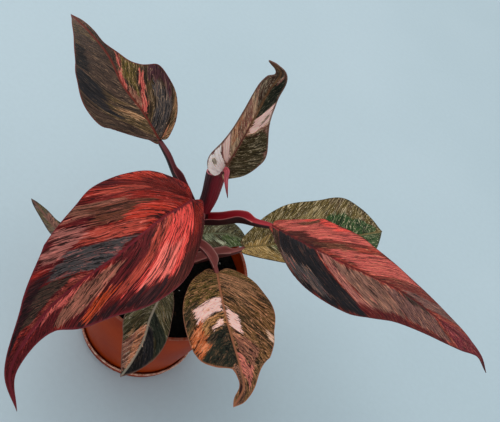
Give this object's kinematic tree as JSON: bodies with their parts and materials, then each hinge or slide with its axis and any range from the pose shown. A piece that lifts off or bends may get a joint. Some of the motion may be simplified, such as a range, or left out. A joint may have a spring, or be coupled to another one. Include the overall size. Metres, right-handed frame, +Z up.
{
  "type": "potted philodendron",
  "caption": "Potted philodendron: pointed heart-shaped leaves on winged stalks round a short upright stem, in a tapered plastic pot of soil on a low saucer.",
  "frame": {"origin": "centre of the saucer's flat underside, on the surface that the plant stands on", "axes": "+Z up along the pot's axis, +X to the plant's right as the picture looks at it, +Y away to its back"},
  "size_m": [0.391, 0.2533, 0.3034],
  "materials": {
    "pot_plastic": "satin",
    "potting_soil": "matte",
    "stem_maroon": "satin",
    "leaf_red": "satin",
    "leaf_dark": "satin",
    "leaf_pink": "satin",
    "leaf_olive": "satin",
    "leaf_grey_green": "satin",
    "spike_red": "satin"
  },
  "bodies": {
    "root": {"saucer": "pot_plastic", "pot": "pot_plastic", "soil": "potting_soil", "stem": "stem_maroon", "leaf_front_left": "leaf_red", "leaf_right": "leaf_red", "leaf_back_left": "leaf_dark", "leaf_young_upright": "leaf_pink", "leaf_back_right": "leaf_olive", "leaf_front_oval": "leaf_olive", "leaf_front_small": "leaf_olive", "leaf_back_small": "leaf_grey_green", "leaf_left_narrow": "leaf_olive", "young_leaf_sheath": "stem_maroon", "withered_spike": "spike_red"}
  },
  "joints": []
}
